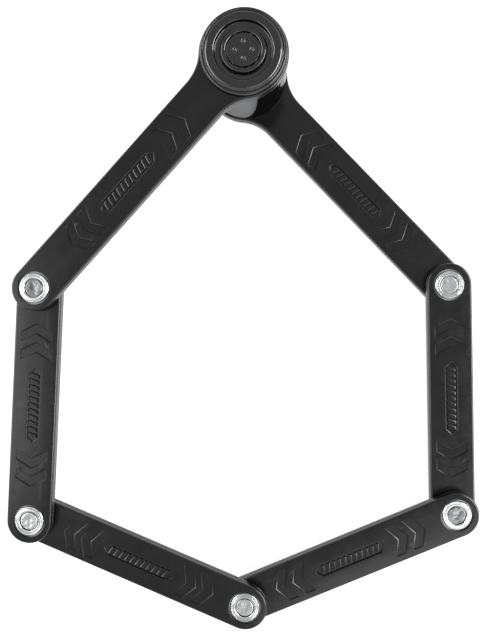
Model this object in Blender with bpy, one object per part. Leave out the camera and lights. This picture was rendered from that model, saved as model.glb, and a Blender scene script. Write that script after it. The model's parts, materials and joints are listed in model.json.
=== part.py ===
"""Folding bike lock: six jacketed steel links on five rivets, closed by a round lock head.

The lock lies flat. Every rivet and the head's axis stand along +Z, and the origin is on that
head axis, level with the underside of the lowest link. The links climb from link F, on the
floor, to link A, under the cap, one PITCH at a time, so each link can fold over its neighbour.
"""

import math

import bmesh
import bpy
from mathutils import Matrix, Vector

MM = 0.001

# ---- driving dimensions ------------------------------------------------------------------
LINK = 129.0 * MM            # rivet to rivet, on links B to E
ARM = 167.5 * MM             # head axis to first rivet, on arms A and F
PITCH = 7.0 * MM             # from one link's underside to the next one's
LINK_T = 6.6 * MM            # thickness over the jacket
HALF_W = 12.4 * MM           # half the width over the jacket
EYE_R = 24.0 * MM            # round eye at the head end of arms A and F
NECK_R = 25.0 * MM           # concave fillet between an arm and its eye
GAP = 0.3 * MM               # between pieces that touch

HEADING_A = -133.1           # degrees, from the head to the first rivet
HEADING_B = -93.4
HEADING_C = -22.9
HEADING_D = 22.8             # links E and F follow from closing the loop

# jacket and steel core
SKIN = 1.3 * MM              # jacket over the flat faces
WALL = 1.6 * MM              # jacket along the edges
CORE_T = LINK_T - 2 * (SKIN + GAP)
CORE_LOW = SKIN + GAP
CORE_HIGH = CORE_LOW + CORE_T
JACKET_EDGE = 1.0 * MM

# rivets
WINDOW_R = 8.9 * MM          # opening in the jacket round a rivet
RING_R = 8.1 * MM
RING_SINK = 0.5 * MM         # rings sit under the jacket's faces
RIVET_HEAD_R = 4.6 * MM
RIVET_R = 3.5 * MM
RIVET_HOLE_R = 3.8 * MM
HEAD_SINK = 0.7 * MM         # and the rivets' formed heads under the rings' tops

# lock head
CAP_R = 23.0 * MM
BARREL_R = 23.2 * MM
BARREL_BORE_R = 20.4 * MM
CAP_H = 3.1 * MM             # cap over its seat
BODY_R = BARREL_BORE_R - GAP
NECK_BODY_R = 11.7 * MM      # lock body's neck, through the eye of arm A
EYE_BORE_R = NECK_BODY_R + GAP
HEAD_WINDOW_R = 20.5 * MM    # opening in the jacket of arm A, under the cap
PLUG_R = 8.3 * MM
PLUG_BORE_R = 6.7 * MM
DISC_R = 6.4 * MM
DISC_COUNT = 5
BODY_BORE_R = PLUG_R + GAP
BOLT_R = 5.2 * MM
BALL_R = 1.4 * MM
COVER_R = 8.6 * MM
COVER_T = 1.1 * MM
COVER_PIN_Y = 7.9 * MM       # the hinge line is a chord near the lid's far edge
COVER_PIN_DEPTH = 0.5 * MM
COVER_PIN_R = 0.25 * MM
PIN_CLEARANCE = 0.1 * MM
INNER_RING_R = 11.9 * MM
INNER_RING_BORE_R = 9.7 * MM
SCREW_CIRCLE_R = 16.0 * MM
SCREW_R = 1.5 * MM
SCREW_HEAD_R = 2.7 * MM
SCREW_ANGLES = (30, 150, 270)
SLOT_ANGLE = -35.0           # degrees, of the drain slot round the barrel
SLOT_W = 1.0 * MM
SLOT_H = 9.0 * MM
SLOT_MIDDLE = 29.0 * MM      # height of the slot's middle over the floor

# levels of the lock head, from the floor up
BARREL_LOW = PITCH
ARM_A_LOW = 5 * PITCH
CORE_A_LOW = ARM_A_LOW + CORE_LOW
CORE_A_TOP = ARM_A_LOW + CORE_HIGH
ARM_A_TOP = ARM_A_LOW + LINK_T
CAP_LOW = ARM_A_TOP + GAP
CAP_TOP = CAP_LOW + CAP_H
NECK_TOP = ARM_A_TOP - GAP
BODY_LOW = BARREL_LOW + 2 * GAP
BODY_TOP = CORE_A_LOW - GAP
COVER_PIN_Z = CAP_TOP - COVER_PIN_DEPTH

ARC_STEP = 15.0              # degrees for each side of an arc
ROUND_STEPS = 24
FINE_STEPS = 32
SMALL_STEPS = 12

PALETTE = {                  # base colour, metallic, roughness
    "jacket": ((0.045, 0.045, 0.048), 0.0, 0.42),
    "core": ((0.55, 0.56, 0.58), 1.0, 0.35),
    "zinc": ((0.72, 0.73, 0.75), 1.0, 0.28),
    "nylon": ((0.80, 0.79, 0.74), 0.0, 0.50),
    "black_metal": ((0.035, 0.035, 0.038), 0.5, 0.28),
    "black_chrome": ((0.10, 0.10, 0.11), 1.0, 0.12),
    "brass": ((0.78, 0.60, 0.30), 1.0, 0.30),
    "bronze": ((0.60, 0.42, 0.24), 1.0, 0.38),
}


# ---- small tools -------------------------------------------------------------------------
def clear_scene():
    for old in list(bpy.data.objects):
        bpy.data.objects.remove(old, do_unlink=True)


def material(name):
    found = bpy.data.materials.get(name)
    if found:
        return found
    colour, metallic, roughness = PALETTE[name]
    made = bpy.data.materials.new(name)
    made.use_nodes = True
    shader = made.node_tree.nodes["Principled BSDF"]
    shader.inputs["Base Color"].default_value = (*colour, 1.0)
    shader.inputs["Metallic"].default_value = metallic
    shader.inputs["Roughness"].default_value = roughness
    return made


def empty(name, place, heading=0.0):
    frame = bpy.data.objects.new(name, None)
    frame.location = place
    frame.rotation_euler[2] = math.radians(heading)
    bpy.context.scene.collection.objects.link(frame)
    return frame


def add_object(bm, name, finish, parent=None, place=(0, 0, 0)):
    bmesh.ops.recalc_face_normals(bm, faces=bm.faces[:])
    mesh = bpy.data.meshes.new(name)
    bm.to_mesh(mesh)
    bm.free()
    mesh.materials.append(material(finish))
    mesh.shade_smooth()
    mesh.set_sharp_from_angle(angle=math.radians(35))
    piece = bpy.data.objects.new(name, mesh)
    piece.parent = parent
    piece.location = place
    bpy.context.scene.collection.objects.link(piece)
    return piece


def cut(piece, *cutters):
    """Takes the cutters out of the piece, and leaves them hidden beside it."""
    for cutter in cutters:
        cutter.hide_render = True
        cutter.display_type = "WIRE"
        boolean = piece.modifiers.new("cut_" + cutter.name, "BOOLEAN")
        boolean.operation = "DIFFERENCE"
        boolean.object = cutter


def arc(centre, radius, start, end):
    """Points along an arc, its ends included, in degrees."""
    steps = max(1, round(abs(end - start) / ARC_STEP))
    angles = [math.radians(start + (end - start) * i / steps) for i in range(steps + 1)]
    return [(centre[0] + radius * math.cos(a), centre[1] + radius * math.sin(a)) for a in angles]


def link_outline(length, half_width):
    """A bar with round ends: one rivet at the origin, the other at +X."""
    return arc((0, 0), half_width, 90, 270) + arc((length, 0), half_width, -90, 90)


def arm_outline(length, half_width, eye_r, neck_r):
    """A bar with a round eye at the origin, concave necks and a round end at +X."""
    rise = half_width + neck_r
    reach = math.sqrt((eye_r + neck_r) ** 2 - rise ** 2)
    touch = math.degrees(math.atan2(rise, reach))
    eye = arc((0, 0), eye_r, touch, 360 - touch)
    low_neck = arc((reach, -rise), neck_r, 180 - touch, 90)
    end = arc((length, 0), half_width, -90, 90)
    high_neck = arc((reach, rise), neck_r, 270, 180 + touch)
    return eye + low_neck[1:] + end + high_neck[:-1]


def slab(outline, low, high, edge=0.0):
    """A flat plate of the outline, with its rims chamfered by edge."""
    bm = bmesh.new()
    base = bm.faces.new([bm.verts.new((x, y, low)) for x, y in outline])
    top = bmesh.ops.extrude_face_region(bm, geom=[base])["geom"]
    verts = [v for v in top if isinstance(v, bmesh.types.BMVert)]
    bmesh.ops.translate(bm, verts=verts, vec=(0, 0, high - low))
    if edge:
        rims = [e for e in bm.edges if abs(e.verts[0].co.z - e.verts[1].co.z) < edge / 10]
        bmesh.ops.bevel(bm, geom=rims, offset=edge, segments=1, affect="EDGES")
    return bm


def turned(profile, steps=ROUND_STEPS, closed=False):
    """A solid of revolution about Z from (radius, height) points.

    A closed profile makes a ring; an open one starts and ends on the axis.
    """
    bm = bmesh.new()
    verts = [bm.verts.new((r, 0, z)) for r, z in profile]
    pairs = list(zip(verts, verts[1:]))
    if closed:
        pairs.append((verts[-1], verts[0]))
    edges = [bm.edges.new(pair) for pair in pairs]
    bmesh.ops.spin(bm, geom=verts + edges, axis=(0, 0, 1), cent=(0, 0, 0),
                   angle=math.tau, steps=steps, use_merge=True)
    bmesh.ops.remove_doubles(bm, verts=bm.verts[:], dist=1e-6)
    return bm


def rod(radius, low, high, steps=ROUND_STEPS):
    return turned([(0, low), (radius, low), (radius, high), (0, high)], steps)


def tube(inner, outer, low, high, edge=0.0, steps=ROUND_STEPS):
    """A plain ring, with its two outer rims chamfered by edge."""
    profile = [(inner, low), (outer - edge, low), (outer, low + edge),
               (outer, high - edge), (outer - edge, high), (inner, high)]
    if not edge:
        profile = [(inner, low), (outer, low), (outer, high), (inner, high)]
    return turned(profile, steps, closed=True)


def block(size, centre):
    bm = bmesh.new()
    bmesh.ops.create_cube(bm, size=1.0)
    bmesh.ops.scale(bm, vec=size, verts=bm.verts[:])
    bmesh.ops.translate(bm, vec=centre, verts=bm.verts[:])
    return bm


def polar(radius, degrees, height=0.0):
    angle = math.radians(degrees)
    return Vector((radius * math.cos(angle), radius * math.sin(angle), height))


# ---- the loop ----------------------------------------------------------------------------
def corner(from_a, reach_a, from_b, reach_b):
    """Where two links meet: on the right of the line from a to b."""
    line = from_b - from_a
    along = (reach_a ** 2 - reach_b ** 2 + line.length_squared) / (2 * line.length)
    side = math.sqrt(reach_a ** 2 - along ** 2)
    unit = line.normalized()
    return from_a + unit * along + Vector((unit.y, -unit.x, 0)) * side


def loop_points():
    """The head axis and the five rivets, all at floor height."""
    head = Vector((0, 0, 0))
    rivet_1 = head + polar(ARM, HEADING_A)
    rivet_2 = rivet_1 + polar(LINK, HEADING_B)
    rivet_3 = rivet_2 + polar(LINK, HEADING_C)
    rivet_4 = rivet_3 + polar(LINK, HEADING_D)
    rivet_5 = corner(rivet_4, LINK, head, ARM)
    return [head, rivet_1, rivet_2, rivet_3, rivet_4, rivet_5]


def heading(start, end):
    return math.degrees(math.atan2(end.y - start.y, end.x - start.x))


def link_frames(points):
    """One empty for each link: on its first rivet, or on the head for the two arms."""
    head, rivet_1, rivet_2, rivet_3, rivet_4, rivet_5 = points
    spans = {"a": (head, rivet_1), "b": (rivet_1, rivet_2), "c": (rivet_2, rivet_3),
             "d": (rivet_3, rivet_4), "e": (rivet_4, rivet_5), "f": (head, rivet_5)}
    frames = {}
    for level, letter in enumerate("fedcba"):
        start, end = spans[letter]
        place = start + Vector((0, 0, level * PITCH))
        frames[letter] = empty("link_frame_" + letter, place, heading(start, end))
    return frames


# ---- links -------------------------------------------------------------------------------
def window(name, frame, radius, x, low=-1.0 * MM, high=LINK_T + 1.0 * MM):
    steps = FINE_STEPS if radius > WINDOW_R else ROUND_STEPS
    return add_object(rod(radius, low, high, steps), name, "jacket", frame, (x, 0, 0))


def jacket_and_core(letter, frame, outline, length, first_window, first_hole):
    """A link's moulded jacket and the hardened bar inside it, both in the link's own frame."""
    jacket = add_object(slab(outline(HALF_W, 0), 0, LINK_T, JACKET_EDGE),
                        "jacket_" + letter, "jacket", frame)
    inset = WALL
    pocket = add_object(slab(outline(HALF_W - inset, inset), SKIN, LINK_T - SKIN),
                        "pocket_cutter_" + letter, "jacket", frame)
    cut(jacket, pocket,
        window("window_cutter_1_" + letter, frame, first_window, 0),
        window("window_cutter_2_" + letter, frame, WINDOW_R, length))
    inset = WALL + GAP
    core = add_object(slab(outline(HALF_W - inset, inset), CORE_LOW, CORE_HIGH),
                      "steel_core_" + letter, "core", frame)
    cut(core,
        window("hole_cutter_1_" + letter, frame, first_hole, 0),
        window("hole_cutter_2_" + letter, frame, RIVET_HOLE_R, length))
    return jacket, core


def make_link(letter, frame):
    def outline(half_width, inset):
        return link_outline(LINK, half_width)
    jacket_and_core(letter, frame, outline, LINK, WINDOW_R, RIVET_HOLE_R)


def make_arm(letter, frame, eye_window):
    def outline(half_width, inset):
        return arm_outline(ARM, half_width, EYE_R - inset, NECK_R + inset)
    return jacket_and_core(letter, frame, outline, ARM, eye_window, EYE_BORE_R)


# ---- rivets ------------------------------------------------------------------------------
def make_rivet_joint(number, frame, x):
    """A rivet through two links; frame is the upper link's, x is the rivet's place along it."""
    place = (x, 0, 0)
    top = LINK_T - HEAD_SINK
    foot = HEAD_SINK - PITCH
    head_h = SKIN - HEAD_SINK
    rivet = turned([
        (0, foot), (RIVET_HEAD_R, foot), (RIVET_HEAD_R, foot + head_h),
        (RIVET_R, foot + head_h), (RIVET_R, top - head_h),
        (RIVET_HEAD_R, top - head_h), (RIVET_HEAD_R, top), (0, top)], steps=20)
    add_object(rivet, f"rivet_{number}", "zinc", frame, place)
    ring_bore = RIVET_HEAD_R + GAP
    upper = tube(ring_bore, RING_R, CORE_HIGH + GAP, LINK_T - RING_SINK, 0.0, 20)
    add_object(upper, f"rivet_ring_top_{number}", "zinc", frame, place)
    lower = tube(ring_bore, RING_R, RING_SINK - PITCH, CORE_LOW - GAP - PITCH, 0.0, 20)
    add_object(lower, f"rivet_ring_bottom_{number}", "zinc", frame, place)
    spacer = tube(RIVET_HOLE_R, RING_R, CORE_HIGH + GAP - PITCH, CORE_LOW - GAP, 0.0, 20)
    add_object(spacer, f"pivot_spacer_{number}", "nylon", frame, place)


# ---- lock head ---------------------------------------------------------------------------
def make_cap():
    """A stepped cap over the eye of arm A, with a recessed land round its middle."""
    flange_top = CAP_LOW + 1.7 * MM
    recess = CAP_TOP - 0.8 * MM
    bore = INNER_RING_R + GAP
    cap = turned([
        (bore, CAP_LOW), (CAP_R - 0.4 * MM, CAP_LOW), (CAP_R, CAP_LOW + 0.4 * MM),
        (CAP_R, flange_top), (CAP_R - 1.2 * MM, flange_top + 0.7 * MM),
        (CAP_R - 2.2 * MM, flange_top + 0.7 * MM), (CAP_R - 2.8 * MM, CAP_TOP),
        (15.9 * MM, CAP_TOP), (15.6 * MM, recess), (bore, recess)],
        FINE_STEPS, closed=True)
    add_object(cap, "head_cap", "black_metal")


def make_inner_ring():
    edge = 0.3 * MM
    ring = turned([
        (INNER_RING_BORE_R, NECK_TOP + GAP), (INNER_RING_R, NECK_TOP + GAP),
        (INNER_RING_R, CAP_TOP - edge), (INNER_RING_R - edge, CAP_TOP),
        (INNER_RING_BORE_R + edge, CAP_TOP), (INNER_RING_BORE_R, CAP_TOP - edge)],
        FINE_STEPS, closed=True)
    piece = add_object(ring, "cap_inner_ring", "black_metal")
    cut(piece, cross_pin("cover_pin_hole_cutter", COVER_PIN_R + PIN_CLEARANCE, 6.8 * MM))


def cross_pin(name, radius, half_length):
    """A rod along X on the cover's hinge line."""
    bm = rod(radius, -half_length, half_length, 8)
    bmesh.ops.rotate(bm, verts=bm.verts[:], cent=(0, 0, 0),
                     matrix=Matrix.Rotation(math.pi / 2, 3, "Y"))
    return add_object(bm, name, "zinc", place=(0, COVER_PIN_Y, COVER_PIN_Z))


def make_dust_cover():
    """A round lid with four dimpled bumps, hinged on a cross pin near its far edge."""
    bump_circle_r, bump_r, bump_h = 4.5 * MM, 1.1 * MM, 0.3 * MM
    cover = add_object(rod(COVER_R, CAP_TOP - COVER_T, CAP_TOP, FINE_STEPS),
                       "dust_cover", "black_metal")
    for i in range(4):
        place = polar(bump_circle_r, 90 * i, CAP_TOP)
        bump = turned([(0, -0.2 * MM), (bump_r, -0.2 * MM), (bump_r, 0),
                       (bump_r * 0.7, bump_h), (bump_r * 0.4, bump_h), (0, bump_h / 3)], 10)
        joiner = add_object(bump, f"bump_joiner_{i}", "black_metal", place=place)
        joiner.hide_render = True
        joiner.display_type = "WIRE"
        union = cover.modifiers.new("join_" + joiner.name, "BOOLEAN")
        union.operation = "UNION"
        union.object = joiner
    cut(cover, cross_pin("cover_hole_cutter", COVER_PIN_R + PIN_CLEARANCE, COVER_R))
    cross_pin("cover_hinge_pin", COVER_PIN_R, 6.4 * MM)


def make_barrel():
    barrel = add_object(tube(BARREL_BORE_R, BARREL_R, BARREL_LOW, ARM_A_LOW - GAP,
                             0.4 * MM, FINE_STEPS), "barrel_sleeve", "black_chrome")
    slot = add_object(block((6 * MM, SLOT_W, SLOT_H), (BARREL_R, 0, SLOT_MIDDLE)),
                      "slot_cutter", "black_chrome")
    turn = empty("slot_frame", (0, 0, 0), SLOT_ANGLE)
    slot.parent = turn
    cut(barrel, slot)


def make_lock_body():
    """The steel body in the barrel: a stepped bore for the bolt and the key plug."""
    bolt_bore_r = 7.8 * MM
    ledge = BODY_LOW + 7.0 * MM
    body = turned([
        (bolt_bore_r, BODY_LOW), (BODY_R, BODY_LOW), (BODY_R, BODY_TOP),
        (NECK_BODY_R, BODY_TOP), (NECK_BODY_R, NECK_TOP), (BODY_BORE_R, NECK_TOP),
        (BODY_BORE_R, ledge), (bolt_bore_r, ledge)], ROUND_STEPS, closed=True)
    piece = add_object(body, "lock_body", "core")
    depth = 6.0 * MM
    for i, angle in enumerate(SCREW_ANGLES):
        hole = rod(SCREW_R + GAP, BODY_TOP - depth, BODY_TOP + 1 * MM, SMALL_STEPS)
        cut(piece, add_object(hole, f"body_hole_cutter_{i}", "core",
                              place=polar(SCREW_CIRCLE_R, angle)))
    bush = tube(BOLT_R + GAP, bolt_bore_r - GAP, BODY_LOW + GAP, ledge - GAP)
    add_object(bush, "bolt_guide_bush", "bronze")


def make_head_screws(core_a):
    """Three screws through the core of arm A into the lock body, hidden by the cap."""
    frame_turn = core_a.parent.rotation_euler[2]
    depth = 5.5 * MM
    head_low = CORE_A_TOP + GAP
    head_top = CAP_LOW - GAP
    for i, angle in enumerate(SCREW_ANGLES):
        screw = turned([
            (0, BODY_TOP - depth), (SCREW_R, BODY_TOP - depth), (SCREW_R, head_low),
            (SCREW_HEAD_R, head_low), (SCREW_HEAD_R, head_top), (0, head_top)], SMALL_STEPS)
        add_object(screw, f"head_screw_{i + 1}", "zinc", place=polar(SCREW_CIRCLE_R, angle))
        hole = rod(SCREW_R + GAP, 0, LINK_T, SMALL_STEPS)
        place = polar(SCREW_CIRCLE_R, angle - math.degrees(frame_turn))
        cut(core_a, add_object(hole, f"arm_hole_cutter_{i}", "core", core_a.parent, place))


def make_cylinder():
    """The turning plug with its slotted discs, the sidebar and the cam that drives the bolt."""
    plug_low = BODY_LOW + 10.8 * MM
    plate_t = 2.0 * MM
    plug_top = NECK_TOP - plate_t - GAP
    plug = add_object(tube(PLUG_BORE_R, PLUG_R, plug_low, plug_top), "key_plug", "brass")
    bar_low, bar_high = plug_low + 1.2 * MM, plug_top - 1.2 * MM
    bar_x = (DISC_R + PLUG_R) / 2 + 0.125 * MM
    groove_size = (3.0 * MM, 2.4 * MM, bar_high - bar_low + 2 * GAP)
    middle = (bar_low + bar_high) / 2
    cut(plug, add_object(block(groove_size, (bar_x, 0, middle)), "sidebar_cutter", "brass"))
    bar_size = (1.4 * MM, 1.8 * MM, bar_high - bar_low)
    add_object(block(bar_size, (bar_x, 0, middle)), "sidebar", "brass")

    keyhole = (3.0 * MM, 7.4 * MM, 60 * MM)
    key_slot = add_object(block(keyhole, (0, 0, plug_top)), "keyhole_cutter", "brass")
    plate = add_object(rod(PLUG_R, NECK_TOP - plate_t, NECK_TOP), "keyway_plate", "zinc")
    cut(plate, key_slot)
    disc_pitch = (plug_top - plug_low) / DISC_COUNT
    for i in range(DISC_COUNT):
        low = plug_low + i * disc_pitch + GAP / 2
        disc = add_object(rod(DISC_R, low, low + disc_pitch - GAP, 20),
                          f"code_disc_{i + 1}", "brass")
        cut(disc, key_slot)
    cam_t = 2.0 * MM
    cam = rod(PLUG_R, plug_low - GAP - cam_t, plug_low - GAP)
    add_object(cam, "drive_cam", "zinc")


def make_bolt():
    """The bolt that drops into arm F's socket, with two locking balls in its cross hole."""
    low = BARREL_LOW + 0.7 * MM
    high = BODY_LOW + 8.2 * MM
    edge = 0.5 * MM
    bolt = add_object(turned([(0, low), (BOLT_R - edge, low), (BOLT_R, low + edge),
                              (BOLT_R, high), (0, high)], 20), "lock_bolt", "zinc")
    ball_z = low + 1.3 * MM + BALL_R / 2
    cross = rod(BALL_R + GAP, -2 * BOLT_R, 2 * BOLT_R, SMALL_STEPS)
    bmesh.ops.rotate(cross, verts=cross.verts[:], cent=(0, 0, 0),
                     matrix=Matrix.Rotation(math.pi / 2, 3, "Y"))
    cut(bolt, add_object(cross, "ball_hole_cutter", "zinc", place=(0, 0, ball_z)))
    for i, side in enumerate((-1, 1)):
        ball = bmesh.new()
        bmesh.ops.create_uvsphere(ball, u_segments=10, v_segments=6, radius=BALL_R)
        add_object(ball, f"bolt_ball_{i + 1}", "zinc",
                   place=(side * (BOLT_R - BALL_R - 0.5 * MM), 0, ball_z))


def make_socket():
    """The steel socket in the eye of arm F, grooved for the balls, and the cap under it."""
    bore = BOLT_R + 2 * GAP
    groove_r = bore + 1.1 * MM
    cap_t = 1.0 * MM
    low, high = cap_t + GAP, LINK_T - HEAD_SINK
    groove_low, groove_high = low + 1.0 * MM, high - 1.6 * MM
    slope = 0.5 * MM
    socket = turned([
        (bore, low), (NECK_BODY_R, low), (NECK_BODY_R, high), (bore, high),
        (bore, groove_high + slope), (groove_r, groove_high),
        (groove_r, groove_low), (bore, groove_low - slope)], ROUND_STEPS, closed=True)
    add_object(socket, "bolt_socket", "core")
    add_object(rod(NECK_BODY_R + GAP / 2, 0, cap_t), "rear_cap", "black_metal")


def main():
    clear_scene()
    frames = link_frames(loop_points())
    for letter in "bcde":
        make_link(letter, frames[letter])
    core_a = make_arm("a", frames["a"], HEAD_WINDOW_R)[1]
    make_arm("f", frames["f"], EYE_BORE_R + GAP)
    for number, (letter, x) in enumerate(
            [("a", ARM), ("b", LINK), ("c", LINK), ("d", LINK), ("e", LINK)], start=1):
        make_rivet_joint(number, frames[letter], x)
    make_cap()
    make_inner_ring()
    make_dust_cover()
    make_barrel()
    make_lock_body()
    make_head_screws(core_a)
    make_cylinder()
    make_bolt()
    make_socket()


main()
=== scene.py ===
"""Looks of the folding bike lock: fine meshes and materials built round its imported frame.

Everything is in metres in the frame's own axes. The lock lies flat, its rivets stand along +Z,
and each link has its own frame: origin on its first rivet, +X along the bar, underside at zero.
"""

import json
import math

import bmesh
import bpy
from mathutils import Euler, Matrix, Vector, noise


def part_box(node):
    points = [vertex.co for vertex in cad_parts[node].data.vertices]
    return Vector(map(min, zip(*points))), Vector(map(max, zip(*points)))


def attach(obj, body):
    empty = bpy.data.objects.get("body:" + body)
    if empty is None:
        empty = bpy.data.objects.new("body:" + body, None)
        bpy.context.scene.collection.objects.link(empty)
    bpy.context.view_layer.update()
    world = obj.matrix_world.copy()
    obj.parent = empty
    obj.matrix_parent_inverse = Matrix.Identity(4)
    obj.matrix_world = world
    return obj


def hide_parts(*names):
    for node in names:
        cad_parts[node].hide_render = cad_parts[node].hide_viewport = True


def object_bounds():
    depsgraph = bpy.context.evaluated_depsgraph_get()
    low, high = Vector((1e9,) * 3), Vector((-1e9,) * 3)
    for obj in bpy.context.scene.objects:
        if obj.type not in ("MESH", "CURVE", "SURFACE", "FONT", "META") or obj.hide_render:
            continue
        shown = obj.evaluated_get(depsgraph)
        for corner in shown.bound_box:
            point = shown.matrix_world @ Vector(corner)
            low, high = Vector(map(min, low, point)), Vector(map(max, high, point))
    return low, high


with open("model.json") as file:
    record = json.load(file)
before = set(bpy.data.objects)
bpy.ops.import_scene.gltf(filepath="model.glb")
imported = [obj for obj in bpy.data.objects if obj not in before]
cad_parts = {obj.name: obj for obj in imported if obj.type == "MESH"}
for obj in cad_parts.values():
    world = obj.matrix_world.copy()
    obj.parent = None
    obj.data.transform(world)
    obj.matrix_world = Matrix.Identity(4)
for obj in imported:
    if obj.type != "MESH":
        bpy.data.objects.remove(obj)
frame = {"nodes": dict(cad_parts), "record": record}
CAD_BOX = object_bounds()

MM = 0.001
GAP = 0.3 * MM

# ---- sizes of the visible forms ----------------------------------------------------------
HALF_W = 12.4 * MM           # of a bar
EYE_R = 24.0 * MM            # round eye at the head end of arms A and F
NECK_R = 25.0 * MM           # concave fillet between an arm and its eye
SKIN = 1.3 * MM              # jacket over the core's faces
WALL = 1.6 * MM              # and along its edges
FILLET = 1.2 * MM            # round the jacket's rims
GROOVE = 0.2 * MM            # mould parting groove, round the edge at half thickness
CROWN = 0.2 * MM             # rise of the top face from its edge to its middle
CROWN_REACH = 9.5 * MM
WINDOW_R = 8.9 * MM          # opening round a rivet
WINDOW_FILLET = 0.4 * MM
HEAD_WINDOW_R = 20.5 * MM    # opening of arm A under the cap
SOCKET_WINDOW_R = 12.3 * MM  # opening of arm F round the bolt socket

BAND_COUNT = 2               # chevrons at each end of a bar
BAND_W = 17.2 * MM           # across the bar
BAND_L = 5.4 * MM            # along it
BAND_DROP = 4.6 * MM         # from a band's tip back to its ends
BAND_PITCH = 10.2 * MM
BAND_TIP = 45.0 * MM         # outermost tip, from the pattern's middle
BAND_DEPTH = 0.75 * MM
PATTERN_X = 91.5 * MM        # the pattern's middle on the two arms, from the head
PLATE_L = 41.0 * MM          # recess between the chevrons, with a row of slanted ribs
PLATE_W = 6.2 * MM
PLATE_POINT = 3.1 * MM
PLATE_DEPTH = 0.95 * MM
RIB_COUNT = 11
RIB_PITCH = 3.3 * MM
RIB_W = 1.9 * MM
RIB_L = 4.6 * MM
RIB_SLANT = 1.4 * MM

DEEP_SHADED_RIVETS = (1, 4)         # struck deeper than the others; their heads also get a darker zinc, which is painted shade
DEEP_HOLLOW = 0.16 * MM
HOLLOW = 0.08 * MM
HOLLOW_REACH = 0.42          # of the head's radius
MARK_SIZE = 1.8 * MM         # hammer marks on a rivet's head: across, and their depth
MARK_DEPTH = 0.07 * MM
MARK_SHIFT = 7.0 * MM        # from one head's marks to the next one's, so that they differ
RIVET_HEAD_R = 4.6 * MM
RIVET_R = 3.5 * MM
BARREL_R = 23.2 * MM
BARREL_BORE_R = 20.4 * MM
BODY_R = 20.1 * MM
NECK_BODY_R = 11.7 * MM
BODY_BORE_R = 8.6 * MM
PLUG_R = 8.3 * MM
BOLT_R = 5.2 * MM
BOLT_BORE_R = 7.8 * MM
BALL_R = 1.4 * MM
INNER_RING_R = 11.75 * MM
INNER_RING_BORE_R = 9.5 * MM
COVER_R = 8.7 * MM
BUMP_CIRCLE_R = 4.5 * MM
SLOT_ANGLE = -35.0           # degrees round the barrel
SLOT_W = 0.9 * MM
SLOT_H = 9.0 * MM
SLOT_MIDDLE = 29.0 * MM      # height over the floor
SLOT_FLARE = 0.35 * MM       # of its mouth

ARC_STEP = 4.0               # degrees for each side of an arc
ROUND_STEPS = 96
FINE_STEPS = 160
SHARP_ANGLE = 38.0

# ---- the view and the room ---------------------------------------------------------------
CAMERA_PLACE = (13.08 * MM, -136.28 * MM, 350.04 * MM)
CAMERA_TURN = (-0.748, 2.751, -0.614)    # degrees about X, Y and Z
CAMERA_LENS = 32.97
FLOOR_SIZE = 8.0
FLOOR_GAP = 0.05 * MM        # under the lock
FLOOR_GREY = 0.3
FLOOR_GLOW = 0.8             # the floor is a light table, which leaves hardly any shadow
HORIZON_LIGHT = 1.0
HORIZON_TOP = 0.25           # sine of the height up to which the sky has the horizon's light
CEILING_LIGHT = 0.5
CEILING_EDGE = 0.65          # and of the height from which it has the ceiling's
SOFTBOX_DISTANCE = 1.6
SOFTBOXES = (                # name, azimuth and elevation in degrees, width, height, radiance
    ("key", 2, 34, 1.5, 0.6, 14),
    ("left_box", 190, 48, 0.8, 0.9, 1.8),
    ("left_strip", 165, 30, 1.6, 0.4, 8),
    ("front_box", 300, 44, 0.9, 0.9, 1.6),
)


# ---- the frame ---------------------------------------------------------------------------
BODY_OF = {node: body for body, nodes in frame["record"]["behaviour"]["bodies"].items()
           for node in nodes}


def centre(node):
    low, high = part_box(node)
    return Vector(((low.x + high.x) / 2, (low.y + high.y) / 2, 0))


def levels(node):
    low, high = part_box(node)
    return low.z, high.z


HEAD = centre("head_cap")
RIVETS = [centre(f"rivet_{number}") for number in range(1, 6)]
SPANS = {"a": (HEAD, RIVETS[0]), "b": (RIVETS[0], RIVETS[1]), "c": (RIVETS[1], RIVETS[2]),
         "d": (RIVETS[2], RIVETS[3]), "e": (RIVETS[3], RIVETS[4]), "f": (HEAD, RIVETS[4])}
LINK_T = levels("jacket_f")[1] - levels("jacket_f")[0]


def link_matrix(letter):
    start, end = SPANS[letter]
    line = end - start
    place = Vector((start.x, start.y, levels("jacket_" + letter)[0]))
    return Matrix.Translation(place) @ Matrix.Rotation(math.atan2(line.y, line.x), 4, "Z")


# ---- materials ---------------------------------------------------------------------------
GLOSS_SCALE = 2.7            # gloss varies that much more finely than colour


def noise_of(tree, coords, scale, detail=3.0, stretch=(1.0, 1.0, 1.0)):
    mapping = tree.nodes.new("ShaderNodeMapping")
    mapping.inputs["Scale"].default_value = stretch
    tree.links.new(coords, mapping.inputs["Vector"])
    texture = tree.nodes.new("ShaderNodeTexNoise")
    texture.inputs["Scale"].default_value = scale
    texture.inputs["Detail"].default_value = detail
    tree.links.new(mapping.outputs["Vector"], texture.inputs["Vector"])
    return texture.outputs["Fac"]


def spread_over(tree, value, low, high):
    """Maps the middle of a noise's range onto low to high."""
    ramp = tree.nodes.new("ShaderNodeMapRange")
    ramp.inputs["From Min"].default_value = 0.3
    ramp.inputs["From Max"].default_value = 0.7
    ramp.inputs["To Min"].default_value = low
    ramp.inputs["To Max"].default_value = high
    tree.links.new(value, ramp.inputs["Value"])
    return ramp.outputs["Result"]


def bumped(tree, height, distance, strength, under=None):
    bump = tree.nodes.new("ShaderNodeBump")
    bump.inputs["Distance"].default_value = distance
    bump.inputs["Strength"].default_value = strength
    tree.links.new(height, bump.inputs["Height"])
    if under:
        tree.links.new(under, bump.inputs["Normal"])
    return bump.outputs["Normal"]


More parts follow.
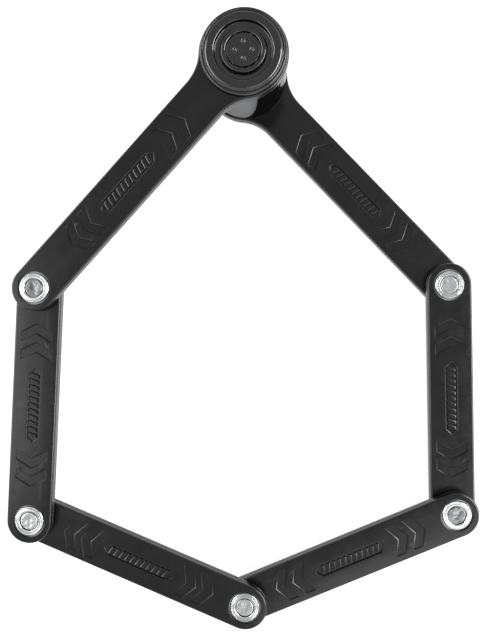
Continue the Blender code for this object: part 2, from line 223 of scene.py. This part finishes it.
def make_finish(name, dark, light, metallic, rough, patch, grain, scratch=None, rings=0.0,
                edge=1.0, shine=0.5):
    """A Principled material with patchy colour and gloss and a fine grain.

    dark and light are the colours that the patches run between, rough is their roughness range
    and patch their scale. grain is (scale, depth, strength). scratch adds a stretched grain,
    rings adds turning marks of that scale. edge below one dims a metal at grazing angles, and
    shine is the specular level.
    """
    made = bpy.data.materials.new(name)
    made.use_nodes = True
    tree = made.node_tree
    shader = tree.nodes["Principled BSDF"]
    shader.inputs["Metallic"].default_value = metallic
    shader.inputs["Specular Tint"].default_value = (edge, edge, edge, 1.0)
    shader.inputs["Specular IOR Level"].default_value = shine
    coords = tree.nodes.new("ShaderNodeTexCoord").outputs["Object"]
    patches = noise_of(tree, coords, patch)
    mix = tree.nodes.new("ShaderNodeMix")
    mix.data_type = "RGBA"
    tree.links.new(spread_over(tree, patches, 0.0, 1.0), mix.inputs["Factor"])
    mix.inputs["A"].default_value = (*dark, 1.0)
    mix.inputs["B"].default_value = (*light, 1.0)
    tree.links.new(mix.outputs["Result"], shader.inputs["Base Color"])
    gloss = noise_of(tree, coords, patch * GLOSS_SCALE, 5.0)
    tree.links.new(spread_over(tree, gloss, *rough), shader.inputs["Roughness"])
    scale, depth, strength = grain
    normal = bumped(tree, noise_of(tree, coords, scale, 2.0), depth, strength)
    if scratch:
        scale, depth, strength, stretch = scratch
        lines = noise_of(tree, coords, scale, 2.0, stretch)
        normal = bumped(tree, lines, depth, strength, normal)
    if rings:
        wave = tree.nodes.new("ShaderNodeTexWave")
        wave.wave_type = "RINGS"
        wave.rings_direction = "Z"
        wave.inputs["Scale"].default_value = rings
        wave.inputs["Distortion"].default_value = 1.5
        wave.inputs["Detail"].default_value = 1.0
        tree.links.new(coords, wave.inputs["Vector"])
        normal = bumped(tree, wave.outputs["Fac"], 0.02 * MM, 0.5, normal)
    tree.links.new(normal, shader.inputs["Normal"])
    return made


def grey(value, tint=0.0):
    return (value * (1 - tint), value, value * (1 + tint))


FINISHES = {
    "jacket": make_finish("moulded_black", grey(0.001), grey(0.004), 0.0, (0.19, 0.28), 60,
                          (2600, 0.03 * MM, 0.15)),
    "core": make_finish("hardened_steel", grey(0.30, 0.02), grey(0.46, 0.02), 1.0, (0.32, 0.5),
                        90, (1500, 0.05 * MM, 0.3), (400, 0.05 * MM, 0.3, (0.1, 1, 1))),
    "zinc": make_finish("bright_zinc", grey(0.73, 0.01), grey(0.81, 0.01), 1.0, (0.14, 0.155),
                        250, (900, 0.01 * MM, 0.03)),
    "formed": make_finish("formed_zinc", grey(0.58, 0.01), grey(0.80, 0.01), 1.0, (0.20, 0.28),
                          300, (1500, 0.02 * MM, 0.15)),
    # the formed zinc painted darker for the deeper-struck heads: painted shade, not a duller metal
    "shaded_struck": make_finish("shaded_struck_zinc", grey(0.16, 0.01), grey(0.44, 0.01), 1.0, (0.20, 0.28),
                          300, (1500, 0.02 * MM, 0.15)),
    "nylon": make_finish("spacer_nylon", (0.62, 0.60, 0.54), (0.74, 0.72, 0.66), 0.0,
                         (0.4, 0.55), 120, (1500, 0.04 * MM, 0.2)),
    "cap": make_finish("cap_black", grey(0.0015), grey(0.003), 0.0, (0.12, 0.17), 80,
                       (2400, 0.03 * MM, 0.12), shine=0.95),
    "barrel": make_finish("black_chrome", grey(0.19, 0.02), grey(0.22, 0.02), 1.0, (0.06, 0.11),
                          60, (900, 0.02 * MM, 0.05), edge=0.5),
    "brass": make_finish("turned_brass", (0.60, 0.42, 0.18), (0.78, 0.58, 0.28), 1.0,
                         (0.2, 0.38), 200, (1500, 0.03 * MM, 0.2), rings=700.0),
    "bronze": make_finish("bearing_bronze", (0.40, 0.25, 0.13), (0.58, 0.38, 0.20), 1.0,
                          (0.3, 0.5), 160, (1200, 0.05 * MM, 0.3)),
}


# ---- mesh tools --------------------------------------------------------------------------
def arc(middle, radius, start, end, step=ARC_STEP):
    """Points along an arc, its ends included, in degrees."""
    steps = max(2, round(abs(end - start) / step))
    angles = [math.radians(start + (end - start) * i / steps) for i in range(steps + 1)]
    return [(middle[0] + radius * math.cos(a), middle[1] + radius * math.sin(a))
            for a in angles]


def softened(points, radius, closed, steps=3):
    """The same line with its corners rounded; a corner between short sides gets a smaller round."""
    made = []
    count = len(points)
    for i, point in enumerate(points):
        here = Vector(point)
        if not closed and i in (0, count - 1):
            made.append(tuple(here))
            continue
        back = Vector(points[i - 1]) - here
        ahead = Vector(points[(i + 1) % count]) - here
        cut = min(radius, 0.45 * back.length, 0.45 * ahead.length)
        first = here + back.normalized() * cut
        last = here + ahead.normalized() * cut
        for k in range(steps + 1):
            t = k / steps
            made.append(tuple(first * (1 - t) ** 2 + here * 2 * t * (1 - t) + last * t * t))
    return made


def grown(outline, distance):
    """A counter-clockwise outline moved outwards by distance, its corners kept."""
    made = []
    count = len(outline)
    for i in range(count):
        before, here, after = (Vector(outline[(i + k) % count]) for k in (-1, 0, 1))
        side_a = (here - before).normalized()
        side_b = (after - here).normalized()
        normal_a = Vector((side_a.y, -side_a.x))
        normal_b = Vector((side_b.y, -side_b.x))
        corner = normal_a + normal_b
        made.append(tuple(here + corner * (distance / (1 + normal_a.dot(normal_b)))))
    return made


def lofted(loops):
    """A closed solid through (outline, height) loops of equal length, bottom first."""
    bm = bmesh.new()
    rows = [[bm.verts.new((x, y, z)) for x, y in outline] for outline, z in loops]
    for low, high in zip(rows, rows[1:]):
        for i in range(len(low)):
            k = (i + 1) % len(low)
            bm.faces.new((low[i], low[k], high[k], high[i]))
    bm.faces.new(rows[0][::-1])
    bm.faces.new(rows[-1])
    return bm


def turned(profile, steps=ROUND_STEPS, closed=False):
    """A solid of revolution about Z from (radius, height) points, a ring if closed."""
    bm = bmesh.new()
    verts = [bm.verts.new((r, 0, z)) for r, z in profile]
    pairs = list(zip(verts, verts[1:]))
    if closed:
        pairs.append((verts[-1], verts[0]))
    edges = [bm.edges.new(pair) for pair in pairs]
    bmesh.ops.spin(bm, geom=verts + edges, axis=(0, 0, 1), cent=(0, 0, 0),
                   angle=math.tau, steps=steps, use_merge=True)
    bmesh.ops.remove_doubles(bm, verts=bm.verts[:], dist=1e-7)
    return bm


def merged(parts):
    """Several solids that don't touch, as one mesh."""
    bm = bmesh.new()
    for part in parts:
        mesh = bpy.data.meshes.new("part")
        part.to_mesh(mesh)
        part.free()
        bm.from_mesh(mesh)
        bpy.data.meshes.remove(mesh)
    return bm


def add_object(bm, name, matrix=None):
    bmesh.ops.recalc_face_normals(bm, faces=bm.faces[:])
    mesh = bpy.data.meshes.new(name)
    bm.to_mesh(mesh)
    bm.free()
    piece = bpy.data.objects.new(name, mesh)
    piece.matrix_world = matrix or Matrix.Identity(4)
    bpy.context.scene.collection.objects.link(piece)
    return piece


def apply_modifiers(piece):
    bpy.context.view_layer.update()
    evaluated = piece.evaluated_get(bpy.context.evaluated_depsgraph_get())
    mesh = bpy.data.meshes.new_from_object(evaluated)
    old = piece.data
    piece.modifiers.clear()
    piece.data = mesh
    bpy.data.meshes.remove(old)
    mesh.name = piece.name


def combine(piece, tool, operation="DIFFERENCE"):
    """Cuts the tool out of the piece, or joins it on, and removes the tool."""
    boolean = piece.modifiers.new("boolean", "BOOLEAN")
    boolean.operation = operation
    boolean.object = tool
    apply_modifiers(piece)
    bpy.data.objects.remove(tool)


def dress(piece, node, finish):
    """The piece stands for the CAD node, rides with it and gets its finish, shaded smooth."""
    mesh = piece.data
    place = piece.matrix_world.to_translation()
    mesh.transform(Matrix.Translation(-place) @ piece.matrix_world)
    piece.matrix_world = Matrix.Translation(place)
    mesh.materials.clear()
    mesh.materials.append(FINISHES[finish])
    mesh.shade_smooth()
    mesh.set_sharp_from_angle(angle=math.radians(SHARP_ANGLE))
    weighted = piece.modifiers.new("weighted", "WEIGHTED_NORMAL")
    weighted.keep_sharp = True
    apply_modifiers(piece)
    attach(piece, BODY_OF[node])
    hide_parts(node)
    return piece


def repaint(node, finish):
    """A CAD node whose shape is right keeps it, under a better finish."""
    piece = frame["nodes"][node]
    piece.data.materials.clear()
    piece.data.materials.append(FINISHES[finish])


# ---- jackets -----------------------------------------------------------------------------
def bar_outline(length, half_width):
    return arc((0, 0), half_width, 90, 270) + arc((length, 0), half_width, -90, 90)


def arm_outline(length, half_width, eye_r, neck_r):
    """A bar with a round eye at the origin, concave necks and a round end at +X."""
    rise = half_width + neck_r
    reach = math.sqrt((eye_r + neck_r) ** 2 - rise ** 2)
    touch = math.degrees(math.atan2(rise, reach))
    eye = arc((0, 0), eye_r, touch, 360 - touch)
    low_neck = arc((reach, -rise), neck_r, 180 - touch, 90)
    end = arc((length, 0), half_width, -90, 90)
    high_neck = arc((reach, rise), neck_r, 270, 180 + touch)
    return eye + low_neck[1:] + end + high_neck[:-1]


def side_profile():
    """(inset, height) up the edge of a jacket, with its parting groove, and over the crown."""
    low = [(FILLET - x, FILLET + z) for x, z in arc((0, 0), FILLET, -90, 0, 15)]
    rim = LINK_T - CROWN
    high = [(FILLET - x, rim - FILLET + z) for x, z in arc((0, 0), FILLET, 0, 90, 15)]
    middle = LINK_T / 2
    groove = [(0, middle - 1.2 * GROOVE), (GROOVE, middle - 0.4 * GROOVE),
              (GROOVE, middle + 0.4 * GROOVE), (0, middle + 1.2 * GROOVE)]
    shares = [0.2, 0.4, 0.6, 0.8, 1.0]
    crown = [(FILLET + share * (CROWN_REACH - FILLET), LINK_T - CROWN * (1 - share) ** 2)
             for share in shares]
    return low + groove + high + crown


def window_cutter(radius, x):
    """A round opening right through, flared by a small fillet at each face."""
    flare = radius + WINDOW_FILLET
    over = 1.0 * MM
    low = [(flare - r, WINDOW_FILLET - z)
           for r, z in reversed(arc((0, 0), WINDOW_FILLET, 0, 90, 18))]
    high = [(r, LINK_T - z) for r, z in reversed(low)]
    bm = turned([(0, -over), (flare, -over)] + low + high
                + [(flare, LINK_T + over), (0, LINK_T + over)], FINE_STEPS)
    bmesh.ops.translate(bm, verts=bm.verts[:], vec=(x, 0, 0))
    return bm


def carving(outline, depth, under=False):
    """A recess of the outline in the top face, or the underside, with sloped and broken edges."""
    over = 0.5 * MM
    steps = [(-0.2 * MM, -depth), (0, -0.28 * MM), (0.08 * MM, -0.21 * MM),
             (0.36 * MM, -0.03 * MM), (0.46 * MM, 0), (0.46 * MM, over)]
    cuts = [(grown(outline, out), z) for out, z in steps]
    if under:
        return lofted([(line, -z) for line, z in reversed(cuts)])
    return lofted([(line, LINK_T + z) for line, z in cuts])


def chevron(tip, direction):
    """A pointed band across the bar, its tip at x = tip and its short ends along the bar."""
    half = BAND_W / 2
    points = [(0, 0), (-BAND_DROP, half), (-BAND_DROP - BAND_L, half), (-BAND_L, 0),
              (-BAND_DROP - BAND_L, -half), (-BAND_DROP, -half)]
    if direction > 0:
        return [(tip + x, y) for x, y in points]
    return [(tip - x, y) for x, y in reversed(points)]


def nameplate(middle):
    half, long = PLATE_W / 2, PLATE_L / 2
    flat = long - PLATE_POINT
    return [(middle + x, y) for x, y in
            [(long, 0), (flat, half), (-flat, half), (-long, 0), (-flat, -half), (flat, -half)]]


def rib(middle):
    """A slanted raised bar on the nameplate's floor."""
    half, lean = RIB_L / 2, RIB_SLANT / 2
    outline = [(middle + x, y) for x, y in
               [(RIB_W / 2 - lean, -half), (RIB_W / 2 + lean, half),
                (-RIB_W / 2 + lean, half), (-RIB_W / 2 - lean, -half)]]
    root = LINK_T - PLATE_DEPTH - 0.1 * MM
    top = LINK_T - 0.05 * MM
    steps = [(0, -0.45 * MM), (-0.06 * MM, -0.25 * MM), (-0.4 * MM, -0.05 * MM), (-0.5 * MM, 0)]
    return lofted([(outline, root)] + [(grown(outline, out), top + z) for out, z in steps])


def make_jacket(letter, first_window):
    start, end = SPANS[letter]
    length = (end - start).length
    is_arm = letter in "af"

    def outline(inset):
        if is_arm:
            return arm_outline(length, HALF_W - inset, EYE_R - inset, NECK_R + inset)
        return bar_outline(length, HALF_W - inset)

    piece = add_object(lofted([(outline(inset), z) for inset, z in side_profile()]),
                       "moulded_jacket_" + letter, link_matrix(letter))

    def cutter(bm):
        return add_object(bm, "cutter", piece.matrix_world)

    combine(piece, cutter(lofted([(outline(WALL), SKIN), (outline(WALL), LINK_T - SKIN)])))
    combine(piece, cutter(merged([window_cutter(first_window, 0),
                                  window_cutter(WINDOW_R, length)])))
    middle = PATTERN_X if is_arm else length / 2
    tips = [(middle + side * (BAND_TIP - step * BAND_PITCH), side)
            for side in (-1, 1) for step in range(BAND_COUNT)]
    bands = [chevron(tip, side) for tip, side in tips]
    carvings = [carving(band, BAND_DEPTH, under) for band in bands for under in (False, True)]
    combine(piece, cutter(merged(carvings + [carving(nameplate(middle), PLATE_DEPTH)])))
    ribs = [rib(middle + (i - (RIB_COUNT - 1) / 2) * RIB_PITCH) for i in range(RIB_COUNT)]
    combine(piece, cutter(merged(ribs)), "UNION")
    dress(piece, "jacket_" + letter, "jacket")


# ---- rivets ------------------------------------------------------------------------------
def roughen(bm, face, up, number, depth):
    """Strikes a formed head: a shallow hollow in its middle and hammer marks over it.

    face is the head's height, up is 1 or -1, and each number gives other marks.
    """
    for vert in bm.verts:
        reach = math.hypot(vert.co.x, vert.co.y)
        near = abs(vert.co.z - face) < 0.02 * MM
        if not near or reach > RIVET_HEAD_R - 0.05 * MM:
            continue
        share = reach / RIVET_HEAD_R
        hollow = math.exp(-(share / HOLLOW_REACH) ** 2)
        place = Vector((vert.co.x, vert.co.y, number * MARK_SHIFT)) / MARK_SIZE
        marks = noise.fractal(place, 1.0, 2.0, 2) * MARK_DEPTH * (1 - share ** 4)
        vert.co.z += up * (marks - depth * hollow)


def make_rivet(number):
    node = f"rivet_{number}"
    low, high = levels(node)
    head_h = 0.6 * MM
    rim = 0.22 * MM
    step = 0.25 * MM
    flat = RIVET_HEAD_R - rim
    rows = [flat - step * i for i in range(1, 17)]
    top = [(RIVET_HEAD_R, high - head_h), (RIVET_HEAD_R, high - rim)]
    top += arc((flat, high - rim), rim, 15, 90, 25)
    top += [(r, high) for r in rows] + [(0, high)]
    bottom = [(r, low + high - z) for r, z in reversed(top)]
    bm = turned(bottom + [(RIVET_R, low + head_h), (RIVET_R, high - head_h)] + top)
    deep = number in DEEP_SHADED_RIVETS
    depth = DEEP_HOLLOW if deep else HOLLOW
    roughen(bm, high, 1, number, depth)
    roughen(bm, low, -1, number + len(RIVETS), depth)
    piece = add_object(bm, "formed_" + node, Matrix.Translation(RIVETS[number - 1]))
    # the deeper-struck heads get the darker zinc, which is painted shade
    dress(piece, node, "shaded_struck" if deep else "formed")


def make_ring(number, side):
    """A swivel ring round a rivet: an outer lip, a thin groove and a wide crowned band.

    The profile is (radius, height over the ring's face) in millimetres, and None is its base.
    """
    node = f"rivet_ring_{side}_{number}"
    low, high = levels(node)
    base, face = (low, high) if side == "top" else (high, low)
    up = 1 if side == "top" else -1
    profile = [(5.2, None), (8.1, None), (8.1, -0.5), (8.0, -0.25), (7.75, 0.0), (7.25, 0.0),
               (6.98, -0.5), (6.9, -0.5), (6.62, 0.06), (5.6, 0.06), (5.38, -0.15),
               (5.2, -0.8)]
    points = [(r * MM, base if z is None else face + up * z * MM) for r, z in profile]
    bm = turned(softened(points, 0.09 * MM, True), FINE_STEPS, True)
    piece = add_object(bm, "swivel_ring_" + side + f"_{number}",
                       Matrix.Translation(RIVETS[number - 1]))
    dress(piece, node, "zinc")


# ---- lock head ---------------------------------------------------------------------------
def lathe_piece(name, node, points, radius, closed=True, steps=FINE_STEPS):
    """A turned piece from (radius, height over the node's low side) points in millimetres."""
    low = levels(node)[0]
    profile = [(r * MM, low + z * MM) for r, z in points]
    bm = turned(softened(profile, radius * MM, closed), steps, closed)
    return add_object(bm, name)


def make_cap():
    profile = [(12.3, 0), (22.6, 0), (23.0, 0.4), (23.0, 1.3), (22.35, 1.98), (21.6, 2.05),
               (21.3, 1.7), (21.0, 1.75), (20.0, 2.85), (19.5, 3.1), (16.3, 3.1),
               (15.8, 2.85), (15.15, 1.3), (14.9, 1.15), (12.8, 1.15), (12.3, 0.8)]
    dress(lathe_piece("stepped_cap", "head_cap", profile, 0.18), "head_cap", "cap")


def make_inner_ring():
    low, high = levels("cap_inner_ring")
    height = (high - low) / MM
    inner, outer = INNER_RING_BORE_R / MM, INNER_RING_R / MM
    profile = [(inner, 0), (outer, 0), (outer, height - 0.25), (outer - 0.35, height - 0.02),
               (inner + 0.45, height), (inner, height - 0.35)]
    piece = lathe_piece("raised_ring", "cap_inner_ring", profile, 0.3)
    dress(piece, "cap_inner_ring", "cap")


def make_cover():
    """The dust cover: a thin lid with four dimpled bumps."""
    low, high = levels("dust_cover")
    bump_h = 0.3 * MM
    top = high - bump_h
    profile = [(0, low), (COVER_R, low), (COVER_R, top), (0, top)]
    piece = add_object(turned(softened(profile, 0.22 * MM, False), FINE_STEPS), "dimpled_cover")
    shape = [(0, -0.3), (1.5, -0.3), (1.5, 0.0), (1.2, 0.3), (1.05, 0.3), (0.75, 0.0),
             (0.5, 0.0), (0.25, 0.24), (0, 0.28)]
    bumps = []
    for i in range(4):
        bump = turned(softened([(r * MM, top + z * MM) for r, z in shape], 0.1 * MM, False), 40)
        angle = i * math.pi / 2
        place = (BUMP_CIRCLE_R * math.cos(angle), BUMP_CIRCLE_R * math.sin(angle), 0)
        bmesh.ops.translate(bump, verts=bump.verts[:], vec=place)
        bumps.append(bump)
    combine(piece, add_object(merged(bumps), "bumps"), "UNION")
    dress(piece, "dust_cover", "cap")


def make_barrel():
    low, high = levels("barrel_sleeve")
    profile = [(BARREL_BORE_R, low), (BARREL_R, low), (BARREL_R, high), (BARREL_BORE_R, high)]
    piece = add_object(turned(softened(profile, 0.6 * MM, True, 5), FINE_STEPS, True),
                       "chromed_barrel")
    end = SLOT_W / 2
    rise = (SLOT_H - SLOT_W) / 2
    stadium = arc((0, rise), end, 0, 180, 15) + arc((0, -rise), end, 180, 360, 15)
    mouth = grown(stadium, SLOT_FLARE)
    depth = 3 * MM
    slot = lofted([(stadium, BARREL_R - depth), (stadium, BARREL_R - 0.12 * MM),
                   (mouth, BARREL_R + 0.25 * MM), (mouth, BARREL_R + depth)])
    raised = Matrix.Translation((0, 0, SLOT_MIDDLE))
    turn = Matrix.Rotation(math.radians(SLOT_ANGLE), 4, "Z")
    facing_out = Euler((math.pi / 2, 0, math.pi / 2)).to_matrix().to_4x4()
    combine(piece, add_object(slot, "slot", raised @ turn @ facing_out))
    dress(piece, "barrel_sleeve", "barrel")


def make_lock_body():
    low, high = (z / MM for z in levels("lock_body"))
    height = high - low
    shoulder = (levels("steel_core_a")[0] - GAP) / MM - low
    ledge = 7.0
    bore, wide, neck, mouth = (r / MM for r in (BOLT_BORE_R, BODY_R, NECK_BODY_R, BODY_BORE_R))
    profile = [(bore, 0), (wide, 0), (wide, shoulder), (neck, shoulder), (neck, height),
               (mouth, height), (mouth, ledge), (bore, ledge)]
    dress(lathe_piece("turned_body", "lock_body", profile, 0.5), "lock_body", "core")


def make_bush():
    height = (levels("bolt_guide_bush")[1] - levels("bolt_guide_bush")[0]) / MM
    inner, outer = (BOLT_R + GAP) / MM, (BOLT_BORE_R - GAP) / MM
    profile = [(inner, 0), (outer, 0), (outer, height), (inner, height)]
    piece = lathe_piece("turned_bush", "bolt_guide_bush", profile, 0.4)
    dress(piece, "bolt_guide_bush", "bronze")


def make_keyway():
    """The disc behind the dust cover, with the key's slot and a round groove for it."""
    low, high = levels("keyway_plate")
    height = (high - low) / MM
    outer = PLUG_R / MM
    profile = [(0, 0), (outer, 0), (outer, height), (6.2, height), (6.0, height - 0.5),
               (5.2, height - 0.5), (5.0, height), (0, height)]
    piece = lathe_piece("slotted_plate", "keyway_plate", profile, 0.2, False)
    half_w, half_l = 1.5 * MM, 3.7 * MM
    keyhole = (arc((0, half_l - half_w), half_w, 0, 180, 15)
               + arc((0, half_w - half_l), half_w, 180, 360, 15))
    mouth = grown(keyhole, 0.4 * MM)
    over = 1.0 * MM
    cutter = lofted([(keyhole, low - over), (keyhole, high - 0.3 * MM),
                     (mouth, high + 0.1 * MM), (mouth, high + over)])
    combine(piece, add_object(cutter, "keyhole"))
    dress(piece, "keyway_plate", "zinc")


def make_bolt():
    low, high = levels("lock_bolt")
    height = (high - low) / MM
    radius = BOLT_R / MM
    profile = [(0, 0), (radius - 0.8, 0), (radius, 0.8), (radius, height), (0, height)]
    piece = lathe_piece("turned_bolt", "lock_bolt", profile, 0.3, False, ROUND_STEPS)
    ball_low, ball_high = levels("bolt_ball_1")
    middle = (ball_low + ball_high) / 2
    reach = 2 * BOLT_R
    hole = turned([(0, -reach), (BALL_R + GAP, -reach), (BALL_R + GAP, reach), (0, reach)], 48)
    across = Matrix.Translation((0, 0, middle)) @ Matrix.Rotation(math.pi / 2, 4, "Y")
    combine(piece, add_object(hole, "ball_hole", across))
    dress(piece, "lock_bolt", "zinc")
    for number in (1, 2):
        node = f"bolt_ball_{number}"
        ball = bmesh.new()
        bmesh.ops.create_icosphere(ball, subdivisions=4, radius=BALL_R)
        place = centre(node) + Vector((0, 0, middle))
        dress(add_object(ball, f"locking_ball_{number}", Matrix.Translation(place)), node, "zinc")


def make_socket():
    """The grooved socket in arm F's eye, and the cap that closes it from below."""
    height = (levels("bolt_socket")[1] - levels("bolt_socket")[0]) / MM
    bore, outer = (BOLT_R + 2 * GAP) / MM, NECK_BODY_R / MM
    groove = bore + 1.1
    profile = [(bore, 0), (outer, 0), (outer, height), (bore + 0.7, height),
               (bore, height - 0.6), (bore, height - 1.1), (groove, height - 1.6),
               (groove, 1.0), (bore, 0.5)]
    dress(lathe_piece("grooved_socket", "bolt_socket", profile, 0.2), "bolt_socket", "core")
    radius = (NECK_BODY_R + GAP / 2) / MM
    profile = [(0, 0.4), (8.6, 0.4), (9.0, 0), (radius, 0), (radius, 1.0), (0, 1.0)]
    dress(lathe_piece("recessed_plug", "rear_cap", profile, 0.2, False), "rear_cap", "cap")


# ---- the room ----------------------------------------------------------------------------
def make_floor():
    bm = bmesh.new()
    bmesh.ops.create_grid(bm, x_segments=1, y_segments=1, size=FLOOR_SIZE / 2)
    floor = add_object(bm, "floor", Matrix.Translation((0, 0, CAD_BOX[0].z - FLOOR_GAP)))
    paint = bpy.data.materials.new("pale_floor")
    paint.use_nodes = True
    shader = paint.node_tree.nodes["Principled BSDF"]
    shader.inputs["Base Color"].default_value = (FLOOR_GREY, FLOOR_GREY, FLOOR_GREY, 1.0)
    shader.inputs["Roughness"].default_value = 0.7
    shader.inputs["Emission Color"].default_value = (1.0, 1.0, 1.0, 1.0)
    shader.inputs["Emission Strength"].default_value = FLOOR_GLOW
    floor.data.materials.append(paint)


def make_sky():
    """A pale horizon all round under a dimmer ceiling, so that the softboxes shape the gloss."""
    world = bpy.data.worlds.new("studio")
    bpy.context.scene.world = world
    world.use_nodes = True
    tree = world.node_tree
    coords = tree.nodes.new("ShaderNodeTexCoord")
    split = tree.nodes.new("ShaderNodeSeparateXYZ")
    tree.links.new(coords.outputs["Generated"], split.inputs["Vector"])
    ramp = tree.nodes.new("ShaderNodeMapRange")
    ramp.interpolation_type = "SMOOTHSTEP"
    ramp.inputs["From Min"].default_value = HORIZON_TOP
    ramp.inputs["From Max"].default_value = CEILING_EDGE
    ramp.inputs["To Min"].default_value = HORIZON_LIGHT
    ramp.inputs["To Max"].default_value = CEILING_LIGHT
    tree.links.new(split.outputs["Z"], ramp.inputs["Value"])
    background = tree.nodes["Background"]
    background.inputs["Color"].default_value = (1.0, 1.0, 1.0, 1.0)
    tree.links.new(ramp.outputs["Result"], background.inputs["Strength"])


def add_softbox(name, azimuth, elevation, width, height, radiance):
    """A rectangular light aimed at the lock's middle from that direction."""
    middle = (CAD_BOX[0] + CAD_BOX[1]) / 2
    turn, rise = math.radians(azimuth), math.radians(elevation)
    away = Vector((math.cos(turn) * math.cos(rise), math.sin(turn) * math.cos(rise),
                   math.sin(rise)))
    data = bpy.data.lights.new(name, "AREA")
    data.shape = "RECTANGLE"
    data.size = width
    data.size_y = height
    data.energy = radiance * math.pi * width * height
    light = bpy.data.objects.new(name, data)
    light.location = middle + away * SOFTBOX_DISTANCE
    light.rotation_euler = away.to_track_quat("Z", "Y").to_euler()
    bpy.context.scene.collection.objects.link(light)


def make_camera():
    data = bpy.data.cameras.new("camera")
    data.lens = CAMERA_LENS
    data.clip_start = 1 * MM
    camera = bpy.data.objects.new("camera", data)
    camera.location = CAMERA_PLACE
    camera.rotation_euler = Euler([math.radians(angle) for angle in CAMERA_TURN])
    bpy.context.scene.collection.objects.link(camera)
    bpy.context.scene.camera = camera


def main():
    make_camera()
    make_floor()
    make_sky()
    for softbox in SOFTBOXES:
        add_softbox(*softbox)
    bpy.context.scene.view_settings.view_transform = "Standard"

    make_jacket("a", HEAD_WINDOW_R)
    make_jacket("f", SOCKET_WINDOW_R)
    for letter in "bcde":
        make_jacket(letter, WINDOW_R)
    for number in range(1, 6):
        make_rivet(number)
        make_ring(number, "top")
        make_ring(number, "bottom")
        repaint(f"pivot_spacer_{number}", "nylon")
        repaint(f"code_disc_{number}", "brass")
    for letter in "abcdef":
        repaint("steel_core_" + letter, "core")
    make_cap()
    make_inner_ring()
    make_cover()
    make_barrel()
    make_lock_body()
    make_bush()
    make_keyway()
    make_bolt()
    make_socket()
    repaint("cover_hinge_pin", "cap")
    for node in ("head_screw_1", "head_screw_2", "head_screw_3", "drive_cam"):
        repaint(node, "zinc")
    for node in ("key_plug", "sidebar"):
        repaint(node, "brass")


main()
